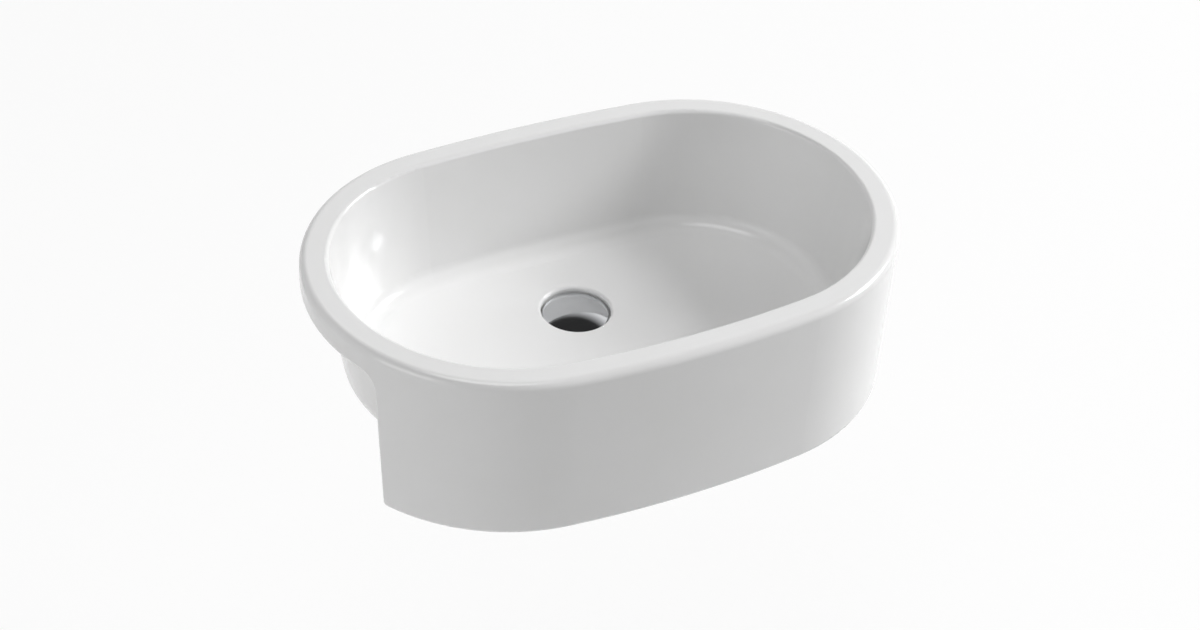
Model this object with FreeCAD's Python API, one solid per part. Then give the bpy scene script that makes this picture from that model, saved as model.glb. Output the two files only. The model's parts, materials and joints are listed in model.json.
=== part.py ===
# Semi-recessed wash basin with a press-to-close waste.
# Frame: +X right along the worktop, +Y towards the wall, +Z up, millimetres.
# Origin: middle of the basin's outline, on the worktop surface that carries the rim.

import FreeCAD
import Part
import math
import os

os.makedirs("parts", exist_ok=True)

V = FreeCAD.Vector
UP = V(0, 0, 1)

# Outline seen from above: round ends joined by two flat arcs
HALF_LENGTH = 280.0
MIDDLE_Y = 4.0
BACK_REACH = 181.0
BACK_END_R = 177.2
FRONT_REACH = 189.0
FRONT_END_R = 183.6

# Rim
RIM_TOP = 28.0
RIM_WIDTH = 25.4
RIM_EDGE_R = 7.0
RIM_INNER_R = 4.0

# Bowl
WALL_LEAN = 9.7
CHINA = 8.6
BOWL_CORNER_Z = -91.7
BOWL_CORNER_R = 16.0
FLOOR_FALL = 2.5
FLOOR_END_Z = -100.0
FLOOR_END_R = 40.0

# Front skirt
SKIRT_BOTTOM = -140.0
SKIRT_WALL = 11.0
SKIRT_CUT_Y = -79.0
SKIRT_CUT_LEAN = 3.2
SKIRT_COVE_R = 18.0
SKIRT_EDGE_R = 6.0
REAR_EDGE_R = 3.5
LAND_INNER_X = 234.0
LAND_TOP = -12.0
LAND_PROUD = 0.8
HOLLOW_TOP = -14.0
WEB_GAP = 186.0

# Outlet
DRAIN_Y = 52.0
RECESS_R = 33.4
RECESS_FLOOR = -112.5
OUTLET_R = 23.0
BOSS_R = 43.0
BOSS_BOTTOM = -132.5

# Waste
FLANGE_R = 31.5
TAIL_R = 20.95
TAIL_BORE_R = 17.5
TAIL_BOTTOM = -188.0
NECK_TOP = -149.5
NECK_HIGH = 2.0
NECK_DEPTH = 0.9
CAP_R = 31.6
CAP_EDGE_Z = -107.0
CAP_RISE = 6.6
CAP_THICK = 1.6
CAP_ROLL = 0.9
BRIDGE_TOP = -128.0
BRIDGE_BOTTOM = -134.0
STEM_R = 4.0
BARREL_R = 8.0
BARREL_BORE_R = 6.15
BARREL_TOP = -117.0
BARREL_BOTTOM = -162.0
ROTOR_TOP = -132.3
ROTOR_BOTTOM = -140.0
SPRING_R = 4.4
SPRING_WIRE_R = 0.6
SPRING_TURNS = 5
RUN = 0.05

# Fixing set under the rear rim
STUD_ANGLE = 50.0
STUD_INSET = 13.0
STUD_R = 4.0
SHANK_R = 3.6
PLUG_R = 5.5
PLUG_DEPTH = 18.0
STUD_LENGTH = 82.0
WORKTOP = 30.0


# ---------- drawing helpers ----------

def rounded_wire(points, place, closed=True):
    """Wire through corners (a, b, size): a size above 0 is a rounding, below 0 a bevel."""
    count = len(points)
    corners = []
    for i in range(count):
        a, b, r = points[i]
        here = V(a, b, 0)
        if r == 0 or (not closed and i in (0, count - 1)):
            corners.append((here, None, here))
            continue
        before = V(points[i - 1][0], points[i - 1][1], 0)
        after = V(points[(i + 1) % count][0], points[(i + 1) % count][1], 0)
        u = (before - here).normalize()
        w = (after - here).normalize()
        if r < 0:
            corners.append((here - u * r, None, here - w * r))
            continue
        half = u.getAngle(w) / 2
        reach = r / math.tan(half)
        inward = (u + w).normalize() * (r / math.sin(half) - r)
        corners.append((here + u * reach, here + inward, here + w * reach))
    edges = []
    for i in range(count):
        start, middle, end = corners[i]
        if middle is not None:
            edges.append(Part.Arc(place(start), place(middle), place(end)).toShape())
        elif (end - start).Length > 1e-6:
            edges.append(Part.makeLine(place(start), place(end)))
        if closed or i < count - 1:
            following = corners[(i + 1) % count][0]
            if (following - end).Length > 1e-6:
                edges.append(Part.makeLine(place(end), place(following)))
    return Part.Wire(edges)


def turned(points, x=0.0, y=DRAIN_Y):
    """Solid of revolution about a vertical axis, from (radius, height, rounding) corners."""
    wire = rounded_wire(points, lambda p: V(x + p.x, y, p.y))
    return Part.Face(wire).revolve(V(x, y, 0), UP, 360)


def tube(outer, inner, low, high, x=0.0, y=DRAIN_Y, bevel=0.0):
    """Round ring with an optional bevel on its outer edges."""
    return turned([(inner, low, 0), (outer, low, -bevel), (outer, high, -bevel), (inner, high, 0)], x, y)


def rod(radius, low, high, x=0.0, y=DRAIN_Y):
    """Round bar standing on a vertical axis."""
    return Part.makeCylinder(radius, high - low, V(x, y, low))


def hexagon(flats, low, high, x=0.0, y=DRAIN_Y):
    """Hexagonal prism with its corners turned off by a shallow cone."""
    corner = flats / math.sqrt(3)
    spots = []
    for i in range(7):
        spots.append(V(x + corner * math.cos(math.pi * i / 3), y + corner * math.sin(math.pi * i / 3), low))
    prism = Part.Face(Part.makePolygon(spots)).extrude(V(0, 0, high - low))
    trim = corner * 0.12
    cone = [(0, low, 0), (corner - trim, low, 0), (corner, low + trim * 0.5, 0)]
    cone += [(corner, high - trim * 0.5, 0), (corner - trim, high, 0), (0, high, 0)]
    return prism.common(turned(cone, x, y))


def box(x0, x1, y0, y1, z0, z1):
    """Block between two corners."""
    return Part.makeBox(x1 - x0, y1 - y0, z1 - z0, V(x0, y0, z0))


# ---------- outline of the basin ----------

def half_outline(reach, end_radius):
    """Side arc of one half: its centre's distance, its radius and where it meets the end arc."""
    a = HALF_LENGTH - end_radius
    b = reach - end_radius
    centre = (a * a - b * b) / (2 * b)
    return centre, reach + centre, math.degrees(math.atan2(centre, a))


def outline_arcs():
    """Six tangent arcs, anticlockwise from the right: (centre x, centre y, radius, start, end)."""
    back_centre, back_side_r, back_meet = half_outline(BACK_REACH, BACK_END_R)
    front_centre, front_side_r, front_meet = half_outline(FRONT_REACH, FRONT_END_R)
    back_x = HALF_LENGTH - BACK_END_R
    front_x = HALF_LENGTH - FRONT_END_R
    return [
        (back_x, MIDDLE_Y, BACK_END_R, 0, back_meet),
        (0, MIDDLE_Y - back_centre, back_side_r, back_meet, 180 - back_meet),
        (-back_x, MIDDLE_Y, BACK_END_R, 180 - back_meet, 180),
        (-front_x, MIDDLE_Y, FRONT_END_R, 180, 180 + front_meet),
        (0, MIDDLE_Y + front_centre, front_side_r, 180 + front_meet, 360 - front_meet),
        (front_x, MIDDLE_Y, FRONT_END_R, 360 - front_meet, 360),
    ]


def outline_wire(inset, z):
    """The outline moved inwards by an inset, at one height."""
    edges = []
    for x, y, radius, start, end in outline_arcs():
        edges.append(Part.makeCircle(radius - inset, V(x, y, z), UP, start, end))
    return Part.Wire(edges)


def outline_block(inset, low, high):
    """Upright block with the inset outline as its plan."""
    return Part.Face(outline_wire(inset, low)).extrude(V(0, 0, high - low))


def outline_faces(points):
    """Faces swept round the outline by an open profile of (inset, height, rounding) corners."""
    faces = []
    for x, y, radius, start, end in outline_arcs():
        c = math.cos(math.radians(start))
        s = math.sin(math.radians(start))
        wire = rounded_wire(points, lambda p: V(x + (radius - p.x) * c, y + (radius - p.x) * s, p.y), False)
        faces += wire.revolve(V(x, y, 0), UP, end - start).Faces
    return faces


def drain_circle(radius, z):
    """Circle round the outlet, split in line with the outline's six arcs."""
    turns = []
    for x, y, r, start, end in outline_arcs():
        px = x + (r - 60) * math.cos(math.radians(start))
        py = y + (r - 60) * math.sin(math.radians(start))
        turn = math.degrees(math.atan2(py - DRAIN_Y, px))
        turns.append(turn + 360 if turns and turn < turns[0] else turn)
    turns.append(turns[0] + 360)
    edges = []
    for i in range(6):
        edges.append(Part.makeCircle(radius, V(0, DRAIN_Y, z), UP, turns[i], turns[i + 1]))
    return Part.Wire(edges)


def basin_form(points, circle_r, circle_z, redraw=list):
    """Solid bounded by an outline-swept wall and a floor falling to a circle round the outlet."""
    inset, height = points[-1][0], points[-1][1]
    circle = drain_circle(circle_r, circle_z)
    faces = redraw(outline_faces(points))
    faces.append(Part.Face(outline_wire(points[0][0], points[0][1])))
    faces += Part.makeLoft([outline_wire(inset, height), circle], False, True).Faces
    faces.append(Part.Face(circle))
    shell = Part.makeShell(faces)
    shell.sewShape()
    solid = Part.makeSolid(shell)
    if solid.Volume < 0:
        solid.reverse()
    return solid


def freeform(faces):
    """Conical faces redrawn as free-form ones, which meet a leaning plane in a smooth curve."""
    drawn = []
    for face in faces:
        drawn += face.toNurbs().Faces if isinstance(face.Surface, Part.Cone) else [face]
    return drawn


def wall_inset(z):
    """How far inside the outline the bowl's leaning inner wall stands at a height."""
    return RIM_WIDTH + (RIM_TOP - z) * math.tan(math.radians(WALL_LEAN))


# ---------- china ----------

def bowl_hollow():
    """Inside of the bowl: rounded lip, leaning wall, rounded corner, floor falling to the outlet."""
    lip = RIM_WIDTH - RIM_INNER_R - 1
    corner = wall_inset(BOWL_CORNER_Z)
    run = BOWL_CORNER_R + 4
    fall = run * math.tan(math.radians(FLOOR_FALL))
    points = [
        (lip, RIM_TOP + 15, 0),
        (lip, RIM_TOP, 0),
        (RIM_WIDTH, RIM_TOP, RIM_INNER_R),
        (corner, BOWL_CORNER_Z, BOWL_CORNER_R),
        (corner + run, BOWL_CORNER_Z - fall, 0),
    ]
    return basin_form(points, FLOOR_END_R, FLOOR_END_Z)


def outlet_hollow():
    """Recess for the waste's flange and the outlet bore below it."""
    return turned([
        (0, FLOOR_END_Z + 1, 0),
        (FLOOR_END_R - 1, FLOOR_END_Z + 1, 0),
        (FLOOR_END_R, FLOOR_END_Z, 0),
        (RECESS_R, FLOOR_END_Z - 0.4, 3),
        (RECESS_R, RECESS_FLOOR, 1.5),
        (OUTLET_R, RECESS_FLOOR, 0),
        (OUTLET_R, BOSS_BOTTOM - 5, 0),
        (0, BOSS_BOTTOM - 5, 0),
    ])


def bowl_outside():
    """Outside of the bowl below the rim, with the boss that carries the waste."""
    top = wall_inset(0) - CHINA
    low = BOWL_CORNER_Z - CHINA - 1
    corner = wall_inset(low) - CHINA
    run = BOWL_CORNER_R + CHINA + 5
    fall = run * math.tan(math.radians(FLOOR_FALL))
    points = [
        (top - 6, 8, 0),
        (top - 6, 0, 0),
        (top, 0, 5),
        (corner, low, BOWL_CORNER_R + CHINA),
        (corner + run, low - fall, 0),
    ]
    body = basin_form(points, BOSS_R, FLOOR_END_Z - CHINA - 2, freeform)
    boss = turned([
        (0, FLOOR_END_Z - 4, 0),
        (BOSS_R, FLOOR_END_Z - 4, 0),
        (BOSS_R, -122, 6),
        (BOSS_R - 9, BOSS_BOTTOM, 2),
        (0, BOSS_BOTTOM, 0),
    ])
    return body.fuse(boss)


def cut_line(z):
    """Where the skirt's rear face stands at a height."""
    return SKIRT_CUT_Y + z * math.tan(math.radians(SKIRT_CUT_LEAN))


def behind_skirt():
    """Space of the worktop: everything under the rim behind the skirt, with a coved corner."""
    deep = SKIRT_BOTTOM - 20
    points = [
        (cut_line(deep), deep, 0),
        (cut_line(0), 0, SKIRT_COVE_R),
        (260, 0, 0),
        (260, deep, 0),
    ]
    wire = rounded_wire(points, lambda p: V(-350, p.x, p.y))
    return Part.Face(wire).extrude(V(700, 0, 0))


def land_relief():
    """Shallow recess of the skirt's rear face, which leaves a flat land along each outer edge."""
    deep = SKIRT_BOTTOM - 20
    points = [
        (cut_line(deep) - LAND_PROUD, deep, 0),
        (cut_line(LAND_TOP) - LAND_PROUD, LAND_TOP, 0),
        (cut_line(LAND_TOP) + 5, LAND_TOP, 0),
        (cut_line(deep) + 5, deep, 0),
    ]
    wire = rounded_wire(points, lambda p: V(-LAND_INNER_X, p.x, p.y))
    return Part.Face(wire).extrude(V(2 * LAND_INNER_X, 0, 0))


def edges_near(shape, test):
    """Edges of a shape whose middle point passes a test."""
    found = []
    for edge in shape.Edges:
        middle = edge.valueAt((edge.FirstParameter + edge.LastParameter) / 2)
        if test(edge, middle):
            found.append(edge)
    return found


def on_outline(point):
    """Distance of a point from the upright outer face."""
    wall = outline_wire(0, point.z)
    return wall.distToShape(Part.Vertex(point))[0]


def rim_and_skirt():
    """Solid rim slab with the front skirt hanging from it, edges rounded."""
    block = outline_block(0, SKIRT_BOTTOM, RIM_TOP).cut(behind_skirt())
    top = edges_near(block, lambda e, p: abs(p.z - RIM_TOP) < 0.01)
    block = block.makeFillet(RIM_EDGE_R, top)
    under = edges_near(block, lambda e, p: SKIRT_BOTTOM + 1 < p.z < 0.01 and on_outline(p) < 0.01
                       and not is_outline_seam(e))
    block = tapered_rounding(block, under)
    bottom = edges_near(block, lambda e, p: abs(p.z - SKIRT_BOTTOM) < 0.01)
    return block.makeFillet(SKIRT_EDGE_R, bottom).cut(land_relief())


def tapered_rounding(block, chain):
    """Rim's lower edge at its full radius, easing along the cove to the skirt's tighter edge."""
    document = FreeCAD.newDocument("rounding")
    base = document.addObject("Part::Feature", "base")
    base.Shape = block
    rounded = document.addObject("Part::Fillet", "rounded")
    rounded.Base = base
    sizes = []
    for number, edge in enumerate(block.Edges, 1):
        if any(edge.isSame(each) for each in chain):
            first = edge.valueAt(edge.FirstParameter).z
            last = edge.valueAt(edge.LastParameter).z
            sizes.append((number, edge_radius(first), edge_radius(last)))
    rounded.Edges = sizes
    document.recompute()
    return rounded.Shape


def edge_radius(z):
    """Rounding of the outer edge at a height: full on the rim, tight on the skirt."""
    return RIM_EDGE_R if z > -0.01 else REAR_EDGE_R


def is_outline_seam(edge):
    """True for the upright lines where two arcs of the outer face meet."""
    a = edge.Vertexes[0].Point
    b = edge.Vertexes[-1].Point
    return math.hypot(a.x - b.x, a.y - b.y) < 0.01


def skirt_hollow():
    """Space inside the skirt, open below, and the gap left between its two return faces."""
    inner = outline_block(SKIRT_WALL, SKIRT_BOTTOM - 10, HOLLOW_TOP)
    wall = SKIRT_WALL / math.cos(math.radians(SKIRT_CUT_LEAN))
    deep = SKIRT_BOTTOM - 20
    points = [
        (cut_line(deep) - wall, deep, 0),
        (cut_line(0) - wall, 0, 0),
        (-260, 0, 0),
        (-260, deep, 0),
    ]
    front = Part.Face(rounded_wire(points, lambda p: V(-350, p.x, p.y))).extrude(V(700, 0, 0))
    hollow = inner.common(front)
    ceiling = edges_near(hollow, lambda e, p: abs(p.z - HOLLOW_TOP) < 0.01)
    hollow = hollow.makeFillet(6, ceiling)
    gap = box(-WEB_GAP, WEB_GAP, -130, -60, SKIRT_BOTTOM - 10, BOWL_CORNER_Z)
    return hollow.fuse(gap)


def stud_spots():
    """Axes of the two fixing studs, right and left."""
    radius = BACK_END_R - STUD_INSET
    x = HALF_LENGTH - BACK_END_R + radius * math.cos(math.radians(STUD_ANGLE))
    y = MIDDLE_Y + radius * math.sin(math.radians(STUD_ANGLE))
    return [(x, y), (-x, y)]


def basin_body():
    china = rim_and_skirt().cut(skirt_hollow()).fuse(bowl_outside())
    china = china.cut(bowl_hollow().fuse(outlet_hollow()))
    for x, y in stud_spots():
        china = china.cut(rod(PLUG_R, -5, PLUG_DEPTH, x, y))
    return china


# ---------- cap and plunger ----------

def dome(half_width, low, high):
    """Arc of a spherical cap from its top on the axis down to its rim."""
    rise = high - low
    radius = (half_width ** 2 + rise ** 2) / (2 * rise)
    middle = half_width * 0.5
    z = high - radius + math.sqrt(radius ** 2 - middle ** 2)
    return Part.Arc(V(0, DRAIN_Y, high), V(middle, DRAIN_Y, z), V(half_width, DRAIN_Y, low)).toShape()


def waste_cap():
    """Polished dome, hollow below, with a rolled edge."""
    top = CAP_EDGE_Z + CAP_RISE
    side = CAP_R - CAP_ROLL
    lip = side - CAP_THICK
    outer = dome(side, CAP_EDGE_Z + 2 * CAP_ROLL, top)
    roll = Part.Arc(V(side, DRAIN_Y, CAP_EDGE_Z + 2 * CAP_ROLL),
                    V(CAP_R, DRAIN_Y, CAP_EDGE_Z + CAP_ROLL),
                    V(side, DRAIN_Y, CAP_EDGE_Z)).toShape()
    under = Part.makeLine(V(side, DRAIN_Y, CAP_EDGE_Z), V(lip, DRAIN_Y, CAP_EDGE_Z))
    inner = dome(lip, CAP_EDGE_Z, top - CAP_THICK)
    axis = Part.makeLine(V(0, DRAIN_Y, top - CAP_THICK), V(0, DRAIN_Y, top))
    wire = Part.Wire(Part.__sortEdges__([outer, roll, under, inner, axis]))
    return Part.Face(wire).revolve(V(0, DRAIN_Y, 0), UP, 360)


def cap_boss():
    """Threaded socket under the dome with the shoulder that backs the seal."""
    top = CAP_EDGE_Z + CAP_RISE - CAP_THICK * 0.6
    boss = turned([
        (0, top, 0),
        (9, top, 0),
        (9, -106.6, -0.8),
        (14.5, -106.6, -0.6),
        (14.5, -109.0, 0),
        (6.5, -109.0, 0),
        (6.5, -114.6, -0.4),
        (STEM_R, -114.6, 0),
        (STEM_R, -104.6, 0),
        (0, -104.6, 0),
    ])
    return boss.cut(waste_cap())


def cap_seal():
    """Rubber ring with a lip bevelled like the waste's seat."""
    return turned([
        (6.5, -109.0, 0),
        (19.6, -109.0, 0),
        (21.0, -109.9, 0),
        (19.2, -112.0, 0),
        (6.5, -112.0, 0),
    ])


def seal_retainer():
    """Disc that clamps the seal, with a collar round the socket and three lightening slots."""
    disc = turned([
        (6.5, -112.0, 0),
        (15.5, -112.0, 0),
        (15.5, -113.4, -0.5),
        (8.6, -113.4, 0),
        (8.6, -115.0, -0.4),
        (6.5, -115.0, 0),
    ])
    slot = box(10.6, 13.4, DRAIN_Y - 2.4, DRAIN_Y + 2.4, -114.5, -111)
    for i in range(3):
        turn = slot.copy()
        turn.rotate(V(0, DRAIN_Y, 0), UP, 120 * i + 60)
        disc = disc.cut(turn)
    return disc


def plunger_stem():
    """Rod from the cap's socket into the barrel, with a toothed collar and a pivot pin."""
    stem = rod(STEM_R, ROTOR_TOP + 0.3, -104.6)
    collar = rod(BARREL_BORE_R - RUN, -131.0, -128.0)
    tooth = box(2.8, 7.0, DRAIN_Y - 0.9, DRAIN_Y + 0.9, -132.0, -131.0)
    ring = tube(BARREL_BORE_R - RUN, 2.6, -132.0, -131.0)
    stem = stem.cut(tube(6, 2.6, -132.0, -131.0)).fuse(collar)
    for i in range(6):
        turn = tooth.copy()
        turn.rotate(V(0, DRAIN_Y, 0), UP, 60 * i)
        stem = stem.fuse(turn.common(ring))
    return stem.fuse(rod(2.0, -137.5, -131.0))


# ---------- latch cartridge ----------

def cartridge_barrel():
    """Hex-headed housing with a guide bore above and the wider latch bore below."""
    head = hexagon(22, -121.0, BARREL_TOP)
    shank = rod(BARREL_R, BARREL_BOTTOM, -120.0)
    shoulder = rod(11.0, BRIDGE_TOP, -121.0)
    barrel = head.fuse(shoulder).fuse(shank)
    barrel = barrel.cut(rod(STEM_R + RUN, -122, BARREL_TOP + 1))
    barrel = barrel.cut(rod(BARREL_BORE_R, BARREL_BOTTOM - 1, -119.0))
    return barrel.cut(tube(7.0, 5.0, -159.9, -158.7)).removeSplitter()


def cam_rotor():
    """Turning latch ring: toothed crown above, spring seat below, bored for the stem's pin."""
    body = tube(BARREL_BORE_R - RUN, 2.0 + RUN, ROTOR_BOTTOM, ROTOR_TOP - 1.2)
    crown = tube(BARREL_BORE_R - RUN, 2.6, ROTOR_TOP - 1.2, ROTOR_TOP - 0.2)
    for i in range(6):
        tooth = box(2.0, 7.0, DRAIN_Y - 0.9, DRAIN_Y + 0.9, ROTOR_TOP - 1.2, ROTOR_TOP - 0.2)
        tooth.rotate(V(0, DRAIN_Y, 0), UP, 60 * i + 30)
        body = body.fuse(tooth.common(crown))
    body = body.cut(tube(5.2, 3.4, ROTOR_BOTTOM - 1, ROTOR_BOTTOM + 1.5))
    return body


def cartridge_spring():
    """Helical compression spring between the rotor and the clip, one unbroken wire."""
    low = -158.7 + SPRING_WIRE_R + 0.02
    high = ROTOR_BOTTOM + 1.5 - SPRING_WIRE_R - 0.02
    halves = SPRING_TURNS * 2
    rise = (high - low) / halves
    path = []
    for i in range(halves):
        spots = []
        for part in (0, 0.5, 1):
            turn = math.pi * (i + part)
            z = low + rise * (i + part)
            spots.append(V(SPRING_R * math.cos(turn), DRAIN_Y + SPRING_R * math.sin(turn), z))
        path.append(Part.Arc(*spots).toShape())
    along = path[0].tangentAt(path[0].FirstParameter)
    start = path[0].valueAt(path[0].FirstParameter)
    section = Part.Wire(Part.makeCircle(SPRING_WIRE_R, start, along))
    pipe = Part.BRepOffsetAPI.MakePipeShell(Part.Wire(path))
    pipe.add(section)
    pipe.build()
    pipe.makeSolid()
    print("spring: gap between turns", round(2 * rise - 2 * SPRING_WIRE_R, 2), "mm")
    return pipe.shape()


def cartridge_clip():
    """Snap ring in the barrel's groove, with a bore in its middle and two plier holes."""
    ring = tube(6.95, 2.6, -159.8, -158.8)
    ring = ring.cut(rod(0.6, -160, -158, 4.4, DRAIN_Y))
    return ring.cut(rod(0.6, -160, -158, -4.4, DRAIN_Y))


def cartridge_locknut():
    """Thin hexagon nut under the bridge."""
    return hexagon(21, BRIDGE_BOTTOM - 4, BRIDGE_BOTTOM).cut(rod(BARREL_R, -150, -120))


# ---------- waste body and its clamping set ----------

def waste_body():
    """Flange with a conical seat, cross bridge with a hub, long tail."""
    shell = turned([
        (FLANGE_R, -110.5, -0.6),
        (FLANGE_R, -107.7, -0.6),
        (23.4, -107.7, 0),
        (18.6, -113.3, 0),
        (TAIL_BORE_R, -114.5, 0),
        (TAIL_BORE_R, TAIL_BOTTOM, -0.5),
        (TAIL_R, TAIL_BOTTOM, -0.9),
        (TAIL_R, NECK_TOP - NECK_HIGH, -0.6),
        (TAIL_R - NECK_DEPTH, NECK_TOP - NECK_HIGH, 0),
        (TAIL_R - NECK_DEPTH, NECK_TOP, 0),
        (TAIL_R, NECK_TOP, 0),
        (TAIL_R, -112.4, 0),
        (22.4, -110.5, 0),
    ])
    hub = rod(12.0, BRIDGE_BOTTOM, BRIDGE_TOP)
    for i in range(4):
        arm = box(10, TAIL_BORE_R + 1, DRAIN_Y - 1.8, DRAIN_Y + 1.8, BRIDGE_BOTTOM, BRIDGE_TOP)
        arm.rotate(V(0, DRAIN_Y, 0), UP, 90 * i + 45)
        hub = hub.fuse(arm.common(rod(TAIL_BORE_R + 0.8, BRIDGE_BOTTOM, BRIDGE_TOP)))
    return shell.fuse(hub.cut(rod(BARREL_R, -150, -120))).removeSplitter()


def flange_gasket():
    """Flat ring between the flange and the china's recess."""
    return tube(30.6, 23.6, RECESS_FLOOR, -110.5)


def outlet_gasket():
    """Rubber ring with a cone that enters the outlet from below."""
    return turned([
        (TAIL_R, BOSS_BOTTOM + 3.0, 0),
        (TAIL_R + 0.9, BOSS_BOTTOM + 3.0, 0),
        (OUTLET_R - 0.4, BOSS_BOTTOM, 0),
        (30.0, BOSS_BOTTOM, -0.8),
        (30.0, BOSS_BOTTOM - 5.0, -0.8),
        (TAIL_R, BOSS_BOTTOM - 5.0, 0),
    ])


def slip_washer():
    """Plastic washer that lets the nut turn."""
    return tube(29.0, TAIL_R, BOSS_BOTTOM - 7.0, BOSS_BOTTOM - 5.0)


def back_nut():
    """Flanged hexagon nut on the tail."""
    top = BOSS_BOTTOM - 7.0
    nut = tube(28.5, TAIL_R, top - 2.5, top, bevel=0.5).fuse(hexagon(50, top - 10.0, top - 2.0))
    return nut.cut(rod(TAIL_R, top - 20, top + 5)).removeSplitter()


# ---------- fixing set ----------

def at_studs(make):
    """One compound of a piece made at both stud axes."""
    return Part.makeCompound([make(x, y) for x, y in stud_spots()])


def anchor_plug(x, y):
    """Plug with a chamfered nose and two grip grooves."""
    groove = 0.35
    return turned([
        (STUD_R, 0.4, 0),
        (PLUG_R, 0.4, 0),
        (PLUG_R, 5.0, 0),
        (PLUG_R - groove, 5.6, 0),
        (PLUG_R, 6.2, 0),
        (PLUG_R, 10.6, 0),
        (PLUG_R - groove, 11.2, 0),
        (PLUG_R, 11.8, 0),
        (PLUG_R, 16.2, 0),
        (PLUG_R - 0.8, 17.6, 0),
        (STUD_R, 17.6, 0),
    ], x, y)


def fixing_stud(x, y):
    """Stud with two threaded ends and a thinner shank through the worktop."""
    top = PLUG_DEPTH - 1.0
    low = top - STUD_LENGTH
    return turned([
        (0, low, 0),
        (STUD_R - 0.8, low, 0),
        (STUD_R, low + 0.8, 0),
        (STUD_R, 1.5 - WORKTOP, -0.4),
        (SHANK_R, 1.5 - WORKTOP, 0),
        (SHANK_R, -1.5, 0),
        (STUD_R, -1.5, -0.4),
        (STUD_R, top - 0.8, 0),
        (STUD_R - 0.8, top, 0),
        (0, top, 0),
    ], x, y)


def towards_middle(x):
    """Turn that lines a plate up with the rim at a stud."""
    return STUD_ANGLE if x > 0 else 180 - STUD_ANGLE


def clamp_plate(x, y):
    """Rounded plate under the worktop with its stud hole and two turned-up long edges."""
    low = -WORKTOP - 3.0
    points = [(-10.5, -22, 4), (13, -22, 4), (13, 22, 4), (-10.5, 22, 4)]
    plate = Part.Face(rounded_wire(points, lambda p: V(p.x, p.y, low))).extrude(V(0, 0, 3.0))
    plate = plate.cut(Part.makeCylinder(STUD_R + 0.5, 10, V(0, 0, low - 3)))
    plate = plate.cut(box(-7.5, 5.5, -18, -10, low + 2.0, low + 5))
    plate = plate.cut(box(-7.5, 5.5, 10, 18, low + 2.0, low + 5))
    plate.rotate(V(0, 0, 0), UP, towards_middle(x))
    plate.translate(V(x, y, 0))
    return plate


def clamp_washer(x, y):
    """Flat washer."""
    top = -WORKTOP - 3.0
    return tube(8.4, STUD_R + 0.4, top - 1.6, top, x, y)


def wing_nut(x, y):
    """Hub with two rounded wings."""
    top = -WORKTOP - 4.6
    hub = turned([
        (STUD_R, top, 0),
        (8.0, top, -0.5),
        (6.4, top - 9.0, -0.8),
        (STUD_R, top - 9.0, 0),
    ], x, y)
    points = [(5.0, -2.0, 0), (13.0, -7.0, 4), (21.5, -9.0, 3)]
    points += [(20.5, -18.0, 3), (11.0, -15.0, 5), (5.0, -9.0, 0)]
    for side in (0, 180):
        wire = rounded_wire(points, lambda p: V(x + p.x, y - 1.5, top + p.y))
        wing = Part.Face(wire).extrude(V(0, 3.0, 0))
        wing.rotate(V(x, y, 0), UP, towards_middle(x) + 90 + side)
        hub = hub.fuse(wing)
    return hub.cut(rod(STUD_R, top - 20, top + 1, x, y)).removeSplitter()


# ---------- export ----------

NODES = {
    "basin_body": basin_body,
    "waste_cap": waste_cap,
    "cap_boss": cap_boss,
    "cap_seal": cap_seal,
    "seal_retainer": seal_retainer,
    "plunger_stem": plunger_stem,
    "cartridge_barrel": cartridge_barrel,
    "cam_rotor": cam_rotor,
    "cartridge_spring": cartridge_spring,
    "cartridge_clip": cartridge_clip,
    "cartridge_locknut": cartridge_locknut,
    "waste_body": waste_body,
    "flange_gasket": flange_gasket,
    "outlet_gasket": outlet_gasket,
    "slip_washer": slip_washer,
    "back_nut": back_nut,
    "anchor_plugs": lambda: at_studs(anchor_plug),
    "fixing_studs": lambda: at_studs(fixing_stud),
    "clamp_plates": lambda: at_studs(clamp_plate),
    "clamp_washers": lambda: at_studs(clamp_washer),
    "wing_nuts": lambda: at_studs(wing_nut),
}

for name, make in NODES.items():
    shape = make()
    shape.exportStep("parts/" + name + ".step")
    size = shape.BoundBox
    print(name, "solids", len(shape.Solids), "valid", shape.isValid(), "volume", round(shape.Volume),
          "box", round(size.XLength, 1), round(size.YLength, 1), round(size.ZLength, 1))
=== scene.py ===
# %% [markdown]
# # A semi-recessed wash basin
#
# A white china basin hangs over the front edge of a worktop.  Its deep skirt is in view, and a
# polished dome closes the outlet.  The fixed frame comes first: every piece already has its true
# place there, in metres, with the origin on the worktop surface.

# %% Load the frame
import bmesh
import bpy
import json
import math
import numpy as np
from mathutils import Matrix, Vector


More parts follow.
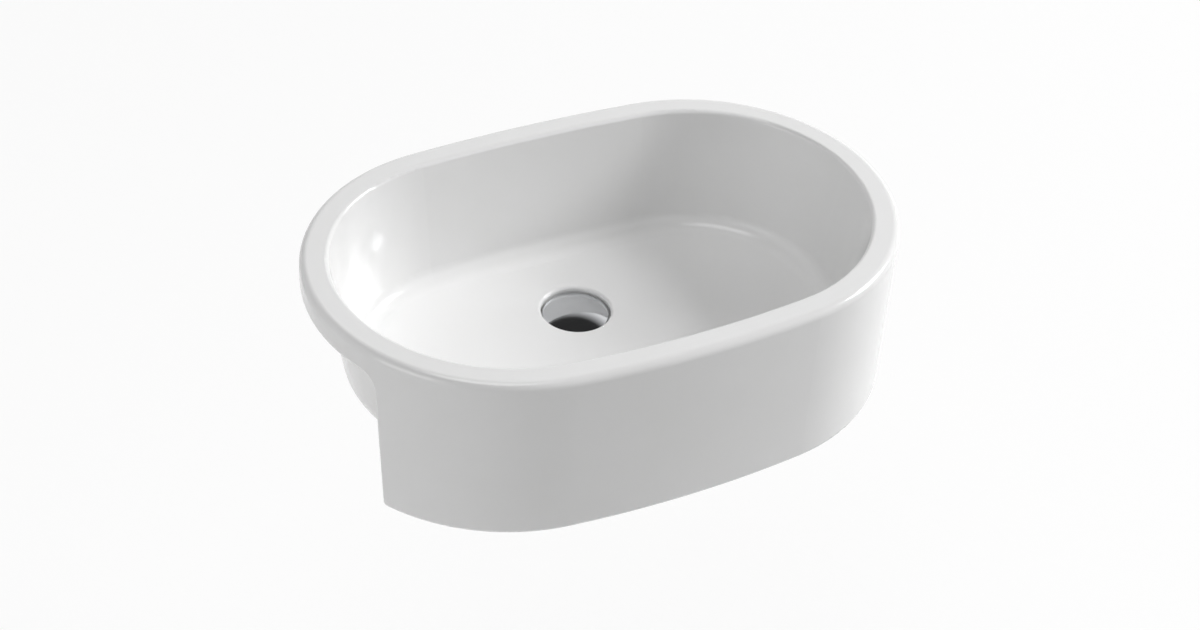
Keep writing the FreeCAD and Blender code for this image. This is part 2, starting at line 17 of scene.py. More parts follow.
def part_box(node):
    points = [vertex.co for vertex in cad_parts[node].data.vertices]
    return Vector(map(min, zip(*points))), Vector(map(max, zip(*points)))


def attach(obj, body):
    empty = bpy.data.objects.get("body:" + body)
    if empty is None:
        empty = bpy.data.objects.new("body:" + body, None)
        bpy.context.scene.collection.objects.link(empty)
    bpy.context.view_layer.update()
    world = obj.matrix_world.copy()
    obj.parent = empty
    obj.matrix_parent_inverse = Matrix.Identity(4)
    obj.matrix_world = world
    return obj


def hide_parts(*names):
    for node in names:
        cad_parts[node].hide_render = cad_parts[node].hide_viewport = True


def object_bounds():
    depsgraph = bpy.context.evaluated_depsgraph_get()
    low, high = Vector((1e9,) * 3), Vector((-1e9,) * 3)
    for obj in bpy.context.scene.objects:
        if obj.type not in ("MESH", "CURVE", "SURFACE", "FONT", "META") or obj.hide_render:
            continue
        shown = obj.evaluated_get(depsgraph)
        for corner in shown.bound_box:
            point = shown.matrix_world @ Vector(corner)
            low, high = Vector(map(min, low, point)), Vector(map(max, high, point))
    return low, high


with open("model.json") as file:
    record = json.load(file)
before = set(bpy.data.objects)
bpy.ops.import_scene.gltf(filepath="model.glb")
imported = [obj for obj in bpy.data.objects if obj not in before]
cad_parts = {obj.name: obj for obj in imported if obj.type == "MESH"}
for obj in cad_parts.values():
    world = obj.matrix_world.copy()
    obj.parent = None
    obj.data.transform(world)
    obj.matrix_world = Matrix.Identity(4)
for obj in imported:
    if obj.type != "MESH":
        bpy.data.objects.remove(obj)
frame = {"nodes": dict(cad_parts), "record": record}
NODES = frame["nodes"]
SLOT_OF = {part["node"]: part["material_slot"] for part in frame["record"]["subparts"]}
MM = 0.001
cad_low, cad_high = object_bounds()
print("parts", len(NODES), "box in mm", [round(v / MM, 1) for v in (*cad_low, *cad_high)])

# %% [markdown]
# ## Camera
#
# The picture was taken from the front left, well above the rim, with a longish lens and the
# camera held a little out of level.  A camera is a point, a direction and a lens: the three
# axes below are its right, its up and its back, and the roll turns the first two about the third.

# %% Camera
AZIMUTH, ELEVATION, ROLL = math.radians(-28.977), math.radians(38.3725), math.radians(3.9784)
DISTANCE, SHIFT_RIGHT, SHIFT_UP = 1963.386 * MM, -1.969 * MM, -76.746 * MM
RIM_TOP = float(cad_high.z)
LENS_IN_PIXELS, FRAME_WIDTH, SENSOR = 2190.41, 1200, 36.0

back = Vector((math.sin(AZIMUTH) * math.cos(ELEVATION),
               -math.cos(AZIMUTH) * math.cos(ELEVATION), math.sin(ELEVATION)))
right = Vector((math.cos(AZIMUTH), math.sin(AZIMUTH), 0))
up = back.cross(right)
place = Vector((0, 0, RIM_TOP)) + back * DISTANCE + right * SHIFT_RIGHT + up * SHIFT_UP
rolled_right = right * math.cos(ROLL) + up * math.sin(ROLL)
rolled_up = up * math.cos(ROLL) - right * math.sin(ROLL)

camera = bpy.data.objects.new("camera", bpy.data.cameras.new("camera"))
camera.data.sensor_fit = "HORIZONTAL"
camera.data.sensor_width = SENSOR
camera.data.lens = LENS_IN_PIXELS / FRAME_WIDTH * SENSOR
camera.data.clip_start, camera.data.clip_end = 0.05, 50
turn = Matrix((rolled_right, rolled_up, back)).transposed().to_4x4()
camera.matrix_world = Matrix.Translation(place) @ turn
bpy.context.scene.collection.objects.link(camera)
bpy.context.scene.camera = camera
print("camera at", [round(v, 3) for v in place], "lens", round(camera.data.lens, 2))

# %% [markdown]
# ## Surfaces from grids
#
# Every new shape here is a grid of points, worked out as whole arrays: one way along a profile
# or a path, the other way across it.  Neighbouring points in both ways make a face.  Where a
# grid meets itself, as all round a turned part, the doubled points are merged, and the faces are
# then all turned outwards.

# %% Grid helper
MERGE_WITHIN, SHORTEST_EDGE = 0.002 * MM, 0.001 * MM


def grid_faces(count, wide):
    """Corners of every cell: a point, its right neighbour, and the two points beyond them."""
    i, j = np.meshgrid(np.arange(count - 1), np.arange(wide - 1), indexing="ij")
    first = (i * wide + j).ravel()
    return np.stack([first, first + 1, first + 1 + wide, first + wide], axis=1)


def piece_from(name, grids, smooth_angle=35):
    """One object from several grids of points (row, column, 3)."""
    points, faces, start = [], [], 0
    for grid in grids:
        points.append(grid.reshape(-1, 3))
        faces.append(grid_faces(*grid.shape[:2]) + start)
        start += len(points[-1])
    mesh = bpy.data.meshes.new(name)
    mesh.from_pydata(np.concatenate(points).tolist(), [], np.concatenate(faces).tolist())
    shape = bmesh.new()
    shape.from_mesh(mesh)
    bmesh.ops.remove_doubles(shape, verts=shape.verts, dist=MERGE_WITHIN)
    bmesh.ops.dissolve_degenerate(shape, edges=shape.edges, dist=SHORTEST_EDGE)
    bmesh.ops.recalc_face_normals(shape, faces=shape.faces)
    open_edges = sum(edge.is_boundary for edge in shape.edges)
    shape.to_mesh(mesh)
    shape.free()
    mesh.shade_smooth()
    mesh.set_sharp_from_angle(angle=math.radians(smooth_angle))
    made = bpy.data.objects.new(name, mesh)
    bpy.context.scene.collection.objects.link(made)
    print(name, "faces", len(mesh.polygons), "open edges", open_edges)
    return made


# %% [markdown]
# ## Floor and backdrop
#
# A basin of this kind cannot stand by itself, so the pale floor lies well below it.  One swept
# sheet serves as floor and backdrop: flat, then curving up, so that no horizon line shows.

# %% Floor sheet
FLOOR_DROP, FLOOR_REACH, BACK_CURVE, WALL_HIGH, HALF_WIDE = 0.42, 3.2, 1.2, 4.5, 6.0
CURVE_POINTS = 24


def floor_grid():
    """Profile along Y: level to the curve, a quarter circle, then upright; carried along X."""
    angle = np.linspace(0, math.pi / 2, CURVE_POINTS)
    curve_y = FLOOR_REACH + BACK_CURVE * np.sin(angle)
    curve_z = BACK_CURVE * (1 - np.cos(angle))
    y = np.concatenate([[-FLOOR_REACH], curve_y, [FLOOR_REACH + BACK_CURVE]])
    z = np.concatenate([[0], curve_z, [WALL_HIGH]]) + cad_low.z - FLOOR_DROP
    x, y = np.meshgrid(np.linspace(-HALF_WIDE, HALF_WIDE, 3), y)
    return np.stack([x, y, np.broadcast_to(z[:, None], x.shape)], axis=-1)


floor = piece_from("floor", [floor_grid()], 180)

# %% [markdown]
# ## Light
#
# One large soft lamp far away on the right does most of the work: it brightens the bowl's left
# end and the skirt's right end, and it leaves the right part of the bowl's floor in shade.  It
# stands far off so that the side next to it isn't much brighter than the side across the bowl.
# A weak, low lamp on the left lifts the skirt's left edge without reaching into the bowl, and a
# third one overhead lights the rim and the floor.

# %% Lamps
# Name, place, point that the lamp faces, side of the square in metres, power in watts.
LAMPS = [
    ("key_right", (4.6, -0.75, 2.6), (0, 0, 0), 2.0, 246),
    ("fill_left", (-2.5, -0.75, 0.42), (0, 0, -0.05), 1.3, 14),
    ("top", (-0.5, -0.3, 2.5), (0, 0, 0), 1.4, 20),
]


def softbox(name, spot, aim, side, power):
    """Square lamp at a spot, facing a point."""
    lamp = bpy.data.lights.new(name, "AREA")
    lamp.shape, lamp.size, lamp.energy = "SQUARE", side, power
    holder = bpy.data.objects.new(name, lamp)
    holder.location = spot
    holder.rotation_euler = (Vector(spot) - Vector(aim)).to_track_quat("Z", "Y").to_euler()
    bpy.context.scene.collection.objects.link(holder)


for lamp_row in LAMPS:
    softbox(*lamp_row)
bpy.context.scene.view_settings.view_transform = "Standard"

# %% [markdown]
# ## Short words for nodes
#
# A finish is a small tree of nodes, and so is the light of the room.  Written out in full, each
# node takes three or four lines, so this class keeps a tree and has short words for what any
# tree needs: a node, a link, one step of arithmetic, and a range of values.

# %% Node helper


class Tree:
    """A tree of nodes, and short words that add nodes to it."""

    def __init__(self, tree):
        self.tree = tree

    def node(self, kind, **settings):
        """A new node of a kind, with its settings."""
        made = self.tree.nodes.new("ShaderNode" + kind)
        for key, value in settings.items():
            setattr(made, key, value)
        return made

    def feed(self, socket, value):
        """Joins another node's output to a socket, or sets a plain value there."""
        if isinstance(value, bpy.types.NodeSocket):
            self.tree.links.new(value, socket)
        else:
            socket.default_value = value

    def sum(self, operation, first, second=0.0):
        """One step of arithmetic."""
        made = self.node("Math", operation=operation)
        self.feed(made.inputs[0], first)
        self.feed(made.inputs[1], second)
        return made.outputs[0]

    def axes(self, vector):
        """The three numbers of a vector."""
        made = self.node("SeparateXYZ")
        self.feed(made.inputs[0], vector)
        return made.outputs

    def spread(self, pattern, low, high, start=0.3, end=0.7):
        """Low where the pattern is at start, high where it is at end, even steps between."""
        made = self.node("MapRange")
        for key, value in (("Value", pattern), ("From Min", start), ("From Max", end),
                           ("To Min", low), ("To Max", high)):
            self.feed(made.inputs[key], value)
        return made.outputs[0]


# %% [markdown]
# ## Short words for finishes
#
# No real surface is one colour and one shine all over.  Most finishes here want the same few
# things: clouds, a blend of two colours, a shine that wanders, and a relief that bends the light
# without moving the surface.  All of them go by the place on the object, in metres, so a blotch
# keeps its true size on a large part and on a small one.

# %% Finish helper


class Finish(Tree):
    """One material: its tree, its shader, and the words that only a material needs."""

    def __init__(self, name, colour, roughness, metal=0.0):
        self.material = bpy.data.materials.new(name)
        self.material.use_nodes = True
        super().__init__(self.material.node_tree)
        self.shader = self.tree.nodes["Principled BSDF"]
        self.shader.inputs["Base Color"].default_value = (*colour, 1)
        self.shader.inputs["Roughness"].default_value = roughness
        self.shader.inputs["Metallic"].default_value = metal
        self.where = self.node("TexCoord").outputs

    def cloud(self, size, detail=3.0, stretch=(1, 1, 1)):
        """Cloudy pattern from 0 to 1, in blotches about one size across, in metres."""
        scaled = self.node("Mapping")
        self.feed(scaled.inputs["Vector"], self.where["Object"])
        scaled.inputs["Scale"].default_value = [s / size for s in stretch]
        noise = self.node("TexNoise")
        self.feed(noise.inputs["Vector"], scaled.outputs[0])
        noise.inputs["Scale"].default_value = 1.0
        noise.inputs["Detail"].default_value = detail
        return noise.outputs["Fac"]

    def blend(self, share, *colours):
        """Colour between two, by a share from 0 to 1."""
        made = self.node("Mix", data_type="RGBA")
        self.feed(made.inputs["Factor"], share)
        for socket, value in zip((s for s in made.inputs if s.type == "RGBA"), colours):
            self.feed(socket, value if isinstance(value, bpy.types.NodeSocket) else (*value, 1))
        return next(s for s in made.outputs if s.type == "RGBA")

    def mottle(self, size, first, second, detail=3.0):
        """Base colour that wanders between two colours, in blotches of a size."""
        self.feed(self.shader.inputs["Base Color"],
                  self.blend(self.spread(self.cloud(size, detail), 0, 1), first, second))

    def sheen_between(self, size, low, high, detail=3.0, stretch=(1, 1, 1)):
        """Roughness that wanders between two values, in blotches of a size."""
        self.feed(self.shader.inputs["Roughness"],
                  self.spread(self.cloud(size, detail, stretch), low, high))

    def relief(self, pattern, height, strength=1.0):
        """Bump of a height in metres."""
        bump = self.node("Bump")
        bump.inputs["Strength"].default_value = strength
        bump.inputs["Distance"].default_value = height
        self.feed(bump.inputs["Height"], pattern)
        self.feed(self.shader.inputs["Normal"], bump.outputs[0])


# %% [markdown]
# ## Pale floor and studio
#
# The floor keeps the basin's faint shadow, and what the camera, or a mirror, sees of it is close
# to white.  So a plain paint is mixed with a white glow, and the glow only counts for rays that
# come straight from the camera or by way of a reflection; it lights nothing.  The room around is
# made the same way: pale as far as it is seen, with a dark ceiling that gives the chrome dome
# its contrast, while the light that it sheds is weak and even.

# %% Floor paint and world
GLOW_SHARE, ROOM_LIGHT = 0.88, 0.14
ROOM_PALE, ROOM_DARK, CEILING_FROM, CEILING_TO = 0.94, 0.03, 0.62, 0.8


def seen_directly(t):
    """1 for camera, glossy and transmission rays, 0 for the rays that carry light."""
    seen = t.node("LightPath").outputs
    direct = t.sum("MAXIMUM", seen["Is Camera Ray"], seen["Is Glossy Ray"])
    return t.sum("MAXIMUM", direct, seen["Is Transmission Ray"])


def floor_paint():
    """Paint, mixed with a glow of strength 1 where it is seen directly."""
    f = Finish("floor_paint", (0.93, 0.93, 0.93), 0.9)
    glow = f.node("Emission")
    glow.inputs["Color"].default_value = (1, 1, 1, 1)
    mix = f.node("MixShader")
    f.feed(mix.inputs[0], f.sum("MULTIPLY", seen_directly(f), GLOW_SHARE))
    f.feed(mix.inputs[1], f.shader.outputs[0])
    f.feed(mix.inputs[2], glow.outputs[0])
    f.feed(f.tree.nodes["Material Output"].inputs["Surface"], mix.outputs[0])
    return f.material


def studio_world():
    """Strength is the weak even light, or what the room looks like where it is seen directly:
    pale up to one height of the ray's direction, dark above another."""
    world = bpy.data.worlds.new("studio")
    world.use_nodes = True
    t = Tree(world.node_tree)
    background = t.tree.nodes["Background"]
    background.inputs["Color"].default_value = (1, 1, 1, 1)
    height = t.axes(t.node("TexCoord").outputs["Generated"])[2]
    room = t.spread(height, ROOM_PALE, ROOM_DARK, CEILING_FROM, CEILING_TO)
    pick = t.node("Mix", data_type="FLOAT")
    for socket, value in ((0, seen_directly(t)), (2, ROOM_LIGHT), (3, room)):
        t.feed(pick.inputs[socket], value)
    t.feed(background.inputs["Strength"], pick.outputs[0])
    return world


floor.data.materials.append(floor_paint())
bpy.context.scene.world = studio_world()
print("floor", floor.data.materials[0].name, "world", bpy.context.scene.world.name)

# %% [markdown]
# ## White china
#
# Vitreous china is fired clay under a thick white glaze.  The glaze pools a little, so the
# surface is smooth but never quite flat: long soft waves and a fine orange peel.  Where the ware
# stood in the kiln, or was ground flat afterwards, there is no glaze: the foot of the skirt, the
# two lands that bear on the worktop's front edge, and the seat under the rim.  Those places are
# found by where they are and which way they face, and show as dry, slightly warm clay.

# %% Glazed and bare china
SKIRT_FOOT = -140 * MM
LAND_INNER, LAND_TOP = 234 * MM, -12 * MM
LAND_Y, LAND_SLOPE = -79 * MM, math.tan(math.radians(3.2))
NEAR, FACES_THAT_WAY = 0.35 * MM, 0.8


def bare_places(f):
    """1 where a point lies on the foot, the seat or a land and faces the right way, else 0."""
    x, y, z = f.axes(f.where["Object"])
    _, facing_back, facing_up = f.axes(f.where["Normal"])
    down = f.sum("LESS_THAN", facing_up, -FACES_THAT_WAY)
    foot = f.sum("MULTIPLY", f.sum("LESS_THAN", z, SKIRT_FOOT + NEAR), down)
    seat = f.sum("MULTIPLY", f.sum("LESS_THAN", f.sum("ABSOLUTE", z), NEAR), down)
    from_land = f.sum("SUBTRACT", f.sum("SUBTRACT", y, LAND_Y), f.sum("MULTIPLY", z, LAND_SLOPE))
    land = f.sum("LESS_THAN", f.sum("ABSOLUTE", from_land), NEAR)
    land = f.sum("MULTIPLY", land, f.sum("GREATER_THAN", f.sum("ABSOLUTE", x), LAND_INNER))
    land = f.sum("MULTIPLY", land, f.sum("LESS_THAN", z, LAND_TOP))
    land = f.sum("MULTIPLY", land, f.sum("GREATER_THAN", facing_back, FACES_THAT_WAY))
    return f.sum("MAXIMUM", foot, f.sum("MAXIMUM", seat, land))


def china_finish():
    """Neutral white glaze with waves and peel, matt warm clay where it is bare."""
    f = Finish("white_glazed_china", (0.84, 0.84, 0.84), 0.1)
    bare = bare_places(f)
    glaze = f.blend(f.spread(f.cloud(0.09), 0, 1), (0.835, 0.835, 0.832), (0.85, 0.85, 0.85))
    clay = f.blend(f.spread(f.cloud(0.004, 5), 0, 1), (0.62, 0.59, 0.53), (0.75, 0.725, 0.67))
    f.feed(f.shader.inputs["Base Color"], f.blend(bare, glaze, clay))
    gloss = f.spread(f.cloud(0.03), 0.13, 0.18)
    f.feed(f.shader.inputs["Roughness"], f.sum("MAXIMUM", gloss, f.sum("MULTIPLY", bare, 0.8)))
    peel = f.sum("MULTIPLY", f.cloud(0.0035, 2), 0.12)
    grain = f.sum("MULTIPLY", f.sum("MULTIPLY", f.cloud(0.0005, 2), 0.5), bare)
    f.relief(f.sum("ADD", f.sum("ADD", peel, f.cloud(0.035, 1)), grain), 0.12 * MM, 0.6)
    return f.material


FINISHES = {"china": china_finish()}
print("foot at", round(SKIRT_FOOT / MM, 1), "mm, lands outside", round(LAND_INNER / MM, 1), "mm")

# %% [markdown]
# ## Polished and plated metal
#
# The dome is polished chrome: almost a mirror, with hair-fine rubbing marks from cleaning.  The
# waste under it is plated too but duller, because the rings that the lathe left round its axis
# show through the plating.

# %% Polished and plated finishes
DRAIN_Y = 52 * MM


def rings(f, spacing):
    """Rings round the outlet's axis: the sine of the distance to it over their spacing."""
    x, y, _ = f.axes(f.where["Object"])
    flat = f.node("CombineXYZ")
    f.feed(flat.inputs[0], x)
    f.feed(flat.inputs[1], f.sum("SUBTRACT", y, DRAIN_Y))
    away = f.node("VectorMath", operation="LENGTH")
    f.feed(away.inputs[0], flat.outputs[0])
    return f.sum("SINE", f.sum("MULTIPLY", away.outputs["Value"], 2 * math.pi / spacing))


def chrome_finish():
    """Almost a mirror, cloudy by a trace, with rubbing marks drawn out along X and Z."""
    f = Finish("polished_chrome", (0.70, 0.71, 0.73), 0.06, 1.0)
    f.mottle(0.012, (0.68, 0.69, 0.71), (0.72, 0.73, 0.745))
    f.sheen_between(0.0012, 0.05, 0.13, 4, (1, 6, 1))
    f.relief(f.cloud(0.0012, 4, (1, 6, 1)), 0.004 * MM, 0.35)
    return f.material


def plated_brass_finish():
    """Satin nickel grey, with the lathe's rings showing through the plating."""
    f = Finish("plated_brass", (0.60, 0.60, 0.61), 0.22, 1.0)
    f.mottle(0.006, (0.56, 0.56, 0.57), (0.64, 0.64, 0.65))
    f.sheen_between(0.003, 0.16, 0.32, 4)
    f.relief(rings(f, 0.4 * MM), 0.006 * MM, 0.4)
    return f.material


FINISHES.update(polished_chrome=chrome_finish(), plated_brass=plated_brass_finish())
print("finishes so far", *FINISHES)

# %% [markdown]
# ## Brass, wire and zinc
#
# The cap's boss, the stem and the latch's barrel are bare turned brass with fine rings round
# their axis, the spring is drawn wire, and the fixing set is steel under zinc, which is bluish,
# cloudy and dull.

# %% Brass, wire and zinc finishes


def turned_brass_finish():
    """Yellow metal with finer and deeper rings."""
    f = Finish("turned_brass", (0.72, 0.53, 0.26), 0.28, 1.0)
    f.mottle(0.005, (0.66, 0.47, 0.21), (0.78, 0.60, 0.32))
    f.sheen_between(0.002, 0.2, 0.38, 4)
    f.relief(rings(f, 0.3 * MM), 0.01 * MM, 0.5)
    return f.material


def wire_finish():
    """Dark grey steel, blotchy from drawing."""
    f = Finish("drawn_spring_wire", (0.45, 0.45, 0.46), 0.3, 1.0)
    f.mottle(0.002, (0.38, 0.38, 0.39), (0.55, 0.55, 0.56))
    f.sheen_between(0.0008, 0.22, 0.42)
    f.relief(f.cloud(0.0004, 2), 0.01 * MM, 0.4)
    return f.material


def zinc_finish():
    """Bluish grey with pale clouds and an uneven shine."""
    f = Finish("zinc_plated_steel", (0.58, 0.60, 0.63), 0.38, 1.0)
    f.mottle(0.005, (0.50, 0.53, 0.57), (0.68, 0.69, 0.70), 5)
    f.sheen_between(0.003, 0.28, 0.5, 5)
    f.relief(f.cloud(0.0012, 4), 0.02 * MM, 0.5)
    return f.material


FINISHES.update(brass=turned_brass_finish(), spring_steel=wire_finish(), zinc_steel=zinc_finish())
print("finishes so far", *FINISHES)

# %% [markdown]
# ## Rubber and plastic
#
# Moulded rubber is matt with a powdery bloom; the push latch's ring is natural acetal, a milky
# and slightly waxy plastic; the plugs and washers of grey nylon are satin, with the fine grain
# of their mould.

# %% Soft and moulded finishes


def rubber_finish(name, dark, pale):
    """Matt, wandering between a dark and a pale shade of one colour."""
    f = Finish(name, dark, 0.7)
    f.mottle(0.004, dark, pale, 4)
    f.sheen_between(0.0015, 0.58, 0.82)
    f.relief(f.cloud(0.0006, 3), 0.03 * MM, 0.5)
    return f.material


def acetal_finish():
    """Milky, with light spreading a few millimetres under the surface."""
    f = Finish("natural_acetal", (0.78, 0.78, 0.74), 0.35)
    f.shader.inputs["Subsurface Weight"].default_value = 0.2
    f.shader.inputs["Subsurface Radius"].default_value = (0.004, 0.004, 0.0035)
    f.mottle(0.006, (0.74, 0.74, 0.70), (0.83, 0.83, 0.80))
    f.sheen_between(0.002, 0.28, 0.42)
    f.relief(f.cloud(0.0009, 2), 0.01 * MM, 0.4)
    return f.material


def nylon_finish():
    """Satin grey with the fine grain of the mould."""
    f = Finish("grey_nylon", (0.33, 0.34, 0.35), 0.45)
    f.mottle(0.005, (0.29, 0.30, 0.31), (0.38, 0.39, 0.40))
    f.sheen_between(0.0015, 0.38, 0.58)
    f.relief(f.cloud(0.0005, 3), 0.02 * MM, 0.5)
    return f.material


FINISHES.update(
    black_rubber=rubber_finish("black_rubber", (0.02, 0.02, 0.021), (0.06, 0.06, 0.06)),
    white_rubber=rubber_finish("white_rubber", (0.62, 0.61, 0.58), (0.74, 0.73, 0.71)),
    acetal=acetal_finish(), nylon_grey=nylon_finish())
print("finishes so far", *FINISHES)

# %% [markdown]
# ## A finish for every part
#
# The record says which material slot each part belongs to.  Each slot gets one finish, and the
# parts take theirs through their slots; no part is moved or changed.

# %% Assign the finishes
for name, node in NODES.items():
    for mark in node.material_slots:
        mark.material = FINISHES[SLOT_OF[name]]
print("finishes", len(FINISHES), "on", len(NODES), "parts")


def dress(made, body, slot):
    """Gives a new piece its finish, its body and the record's slot."""
    made.data.materials.append(FINISHES[slot])
    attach(made, body)


# %% [markdown]
# ## Threads
#
# The solids carry plain cylinders where the real waste and studs are threaded, because a fine
# thread is detail for the eye.  A thread is a groove wound round a shaft.  Here its surface is
# one sheet: one way it goes round, the other way it climbs, and every line of the sheet follows
# the slope of the helix, so that the crests stay sharp.

# %% Thread surface
ROWS_IN_PITCH = 8
END_SINK, RING_SINK = 0.05 * MM, 0.6 * MM
WAVE_SLOPE, WAVE_CUT = 2.7, 0.175


def around(radius, height, turn, x, y):
    """Points at a radius and a height for every angle, round the upright axis at (x, y)."""
    height = np.broadcast_to(height, (len(radius), len(turn)))
    return np.stack([x + radius * np.cos(turn), y + radius * np.sin(turn), height], axis=-1)


def thread_grid(crest, depth, pitch, low, high, steps, x, y):
    """Height is the row's share of a pitch plus the share of a turn, times the pitch, held
    between the ends; radius is the crest less the depth times a flattened triangle wave of the
    row.  At the ends it sinks under the core, and closes through a ring inside the core."""
    rows = (int((high - low) / pitch) + 2) * ROWS_IN_PITCH + 1
    turn = np.linspace(0, 2 * math.pi, steps + 1)
    share = np.arange(rows) / ROWS_IN_PITCH
    height = low + pitch * (share[:, None] + turn[None, :] / (2 * math.pi) - 1)
    wave = np.clip(np.abs(share % 1 - 0.5) * WAVE_SLOPE - WAVE_CUT, 0, 1)
    core = crest - depth
    at_end = (height <= low) | (height >= high)
    reach = np.where(at_end, core - END_SINK, crest - depth * wave[:, None])
    ring = np.full((2, steps + 1), core - RING_SINK)
    reach = np.concatenate([reach, ring, reach[:1]])
    closing = np.array([high, low, low])[:, None] + 0 * turn
    height = np.concatenate([np.clip(height, low, high), closing])
    return around(reach, height, turn, x, y)


def turned_grid(profile, steps, x, y):
    """A profile of (radius, height) points carried once round an upright axis."""
    radius, height = (np.array(side)[:, None] for side in zip(*profile))
    return around(radius, height, np.linspace(0, 2 * math.pi, steps + 1), x, y)


# %% [markdown]
# ### The waste's body
#
# A wide flange on a long tail, turned from one casting and plated.  The bore narrows from a
# seat under the cap, and a groove between the thread and the plain part above it gives the
# thread a clean end.  Everything here is round, so one outline carried round the axis is enough.

# %% Outline of the waste's body
WASTE_LOW, WASTE_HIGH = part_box("waste_body")
FLANGE_R, FLANGE_TOP, TAIL_END = float(WASTE_HIGH.x), float(WASTE_HIGH.z), float(WASTE_LOW.z)
FLANGE_THICK, FLANGE_EDGE = 2.8 * MM, 0.6 * MM
FILLET_R, FILLET_DROP = 22.4 * MM, 1.9 * MM
SEAT_R, SEAT_LOW_R, SEAT_DROP = 23.4 * MM, 18.6 * MM, 5.6 * MM
TAIL_R, TAIL_DEPTH, TAIL_BEVEL = 20.95 * MM, 1.48 * MM, 0.3 * MM
NECK_R, NECK_LOW, NECK_TOP = 20.05 * MM, -151.5 * MM, -149.5 * MM
BORE_R, BORE_DROP, BORE_BEVEL = 17.5 * MM, 6.8 * MM, 0.5 * MM


def waste_profile():
    """Closed line up the outside of the tail, over the flange and down through the bore."""
    root, under = TAIL_R - TAIL_DEPTH, FLANGE_TOP - FLANGE_THICK
    tail = [(root - TAIL_BEVEL, TAIL_END), (root, TAIL_END + TAIL_BEVEL),
            (root, NECK_LOW), (NECK_R, NECK_LOW), (NECK_R, NECK_TOP),
            (TAIL_R, NECK_TOP), (TAIL_R, under - FILLET_DROP), (FILLET_R, under)]
    flange = [(FLANGE_R - FLANGE_EDGE, under), (FLANGE_R, under + FLANGE_EDGE),
              (FLANGE_R, FLANGE_TOP - FLANGE_EDGE), (FLANGE_R - FLANGE_EDGE, FLANGE_TOP)]
    bore = [(SEAT_R, FLANGE_TOP), (SEAT_LOW_R, FLANGE_TOP - SEAT_DROP),
            (BORE_R, FLANGE_TOP - BORE_DROP), (BORE_R, TAIL_END + BORE_BEVEL),
            (BORE_R + BORE_BEVEL, TAIL_END)]
    return tail + flange + bore + tail[:1]


print("flange across", round(2 * FLANGE_R / MM, 2), "mm, length",
      round((FLANGE_TOP - TAIL_END) / MM, 2), "mm")

# %% [markdown]
# ### The bridge inside the waste
#
# Four thin arms hold a hub in the middle of the bore, and the push latch hangs in the hub.  The
# water runs down between the arms.  Each arm starts a little inside the hub and ends a little
# inside the wall, as a cast arm that flows into both.

# %% Hub and arms
BRIDGE_TOP, BRIDGE_LOW, HUB_R, HUB_BORE_R = -128 * MM, -134 * MM, 12 * MM, 8 * MM
ARMS, ARM_HALF, ARM_IN_HUB, ARM_IN_WALL = 4, 1.8 * MM, 1 * MM, 0.5 * MM


def hub_profile():
    """Square section of the bridge's hub, closed."""
    return [(HUB_R, BRIDGE_LOW), (HUB_R, BRIDGE_TOP), (HUB_BORE_R, BRIDGE_TOP),
            (HUB_BORE_R, BRIDGE_LOW), (HUB_R, BRIDGE_LOW)]


def arm_grid(angle):
    """A rectangle carried from inside the hub to inside the wall, drawn to a point at each end."""
    along = np.array([HUB_R - ARM_IN_HUB] * 2 + [BORE_R + ARM_IN_WALL] * 2)[:, None]
    open_wide = np.array([0, 1, 1, 0])[:, None]
    side = open_wide * ARM_HALF * np.array([-1, 1, 1, -1, -1])
    middle, half = (BRIDGE_TOP + BRIDGE_LOW) / 2, (BRIDGE_TOP - BRIDGE_LOW) / 2
    height = middle + open_wide * half * np.array([-1, -1, 1, 1, -1])
    x = along * math.cos(angle) - side * math.sin(angle)
    y = along * math.sin(angle) + side * math.cos(angle)
    return np.stack([x, y + DRAIN_Y, height], axis=-1)


print("bridge", round((BRIDGE_TOP - BRIDGE_LOW) / MM, 1), "mm high with", ARMS, "arms")

# %% [markdown]
# ### The pipe thread
#
# The tail has a G 1 1/4 thread: eleven turns to the inch, 1.48 mm deep.  With it the body is
# whole, and the new piece takes the plain solid's place.

# %% Waste body with its thread
TAIL_PITCH, TAIL_STEPS, HUB_STEPS = 25.4 / 11 * MM, 96, 48
THREAD_FROM_END, THREAD_FROM_NECK = 0.7 * MM, 0.4 * MM

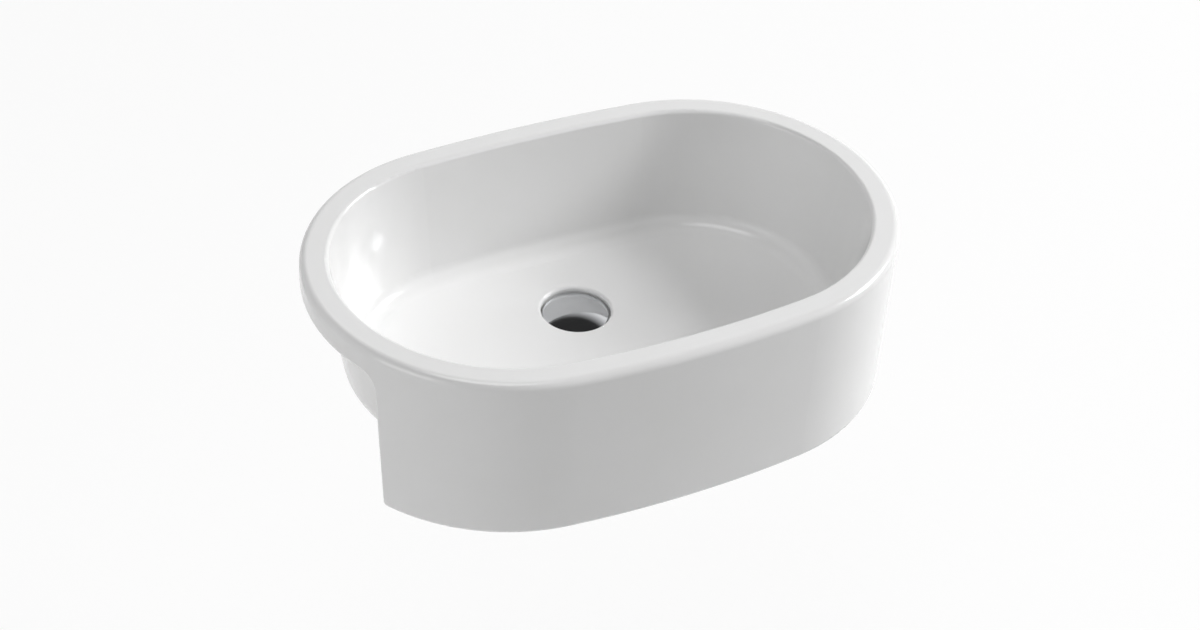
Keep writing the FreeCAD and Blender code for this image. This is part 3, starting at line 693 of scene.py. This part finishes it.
waste = piece_from("threaded_waste_body", [
    turned_grid(waste_profile(), TAIL_STEPS, 0, DRAIN_Y),
    thread_grid(TAIL_R, TAIL_DEPTH, TAIL_PITCH, TAIL_END + THREAD_FROM_END,
                NECK_LOW - THREAD_FROM_NECK, TAIL_STEPS, 0, DRAIN_Y),
    turned_grid(hub_profile(), HUB_STEPS, 0, DRAIN_Y),
    *[arm_grid(2 * math.pi * (arm + 0.5) / ARMS) for arm in range(ARMS)],
])
dress(waste, "basin", "plated_brass")
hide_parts("waste_body")

# %% [markdown]
# ### The fixing studs
#
# Two M8 studs pull the basin down on the worktop.  Each has a thread at both ends and a thinner
# shank between.  Their places come from the plain solids, which they replace.

# %% Studs with their threads
STUD_LOW, STUD_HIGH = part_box("fixing_studs")
STUD_R, SHANK_R, STUD_PITCH, STUD_DEPTH = 4 * MM, 3.6 * MM, 1.25 * MM, 0.77 * MM
STUD_X, STUD_Y = float(STUD_HIGH.x) - STUD_R, float(STUD_HIGH.y) - STUD_R
STUD_TOP, STUD_END = float(STUD_HIGH.z), float(STUD_LOW.z)
SHANK_LOW, SHANK_TOP = -28.5 * MM, -1.5 * MM
STUD_BEVEL, STUD_STEPS = 0.5 * MM, 36


def stud_core():
    """A stud's core with chamfered ends, from its top point to its bottom point."""
    root = STUD_R - STUD_DEPTH
    return [(0, STUD_TOP), (root - STUD_BEVEL, STUD_TOP), (root, STUD_TOP - STUD_BEVEL),
            (root, SHANK_TOP), (SHANK_R, SHANK_TOP), (SHANK_R, SHANK_LOW), (root, SHANK_LOW),
            (root, STUD_END + STUD_BEVEL), (root - STUD_BEVEL, STUD_END), (0, STUD_END)]


def stud_grids(x):
    """Core and two threads of the stud at one side."""
    grids = [turned_grid(stud_core(), STUD_STEPS, x, STUD_Y)]
    for low, high in ((SHANK_TOP, STUD_TOP - THREAD_FROM_END),
                      (STUD_END + THREAD_FROM_END, SHANK_LOW)):
        grids.append(thread_grid(STUD_R, STUD_DEPTH, STUD_PITCH, low, high, STUD_STEPS,
                                 x, STUD_Y))
    return grids


studs = piece_from("threaded_fixing_studs", stud_grids(STUD_X) + stud_grids(-STUD_X))
dress(studs, "basin", "zinc_steel")
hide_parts("fixing_studs")
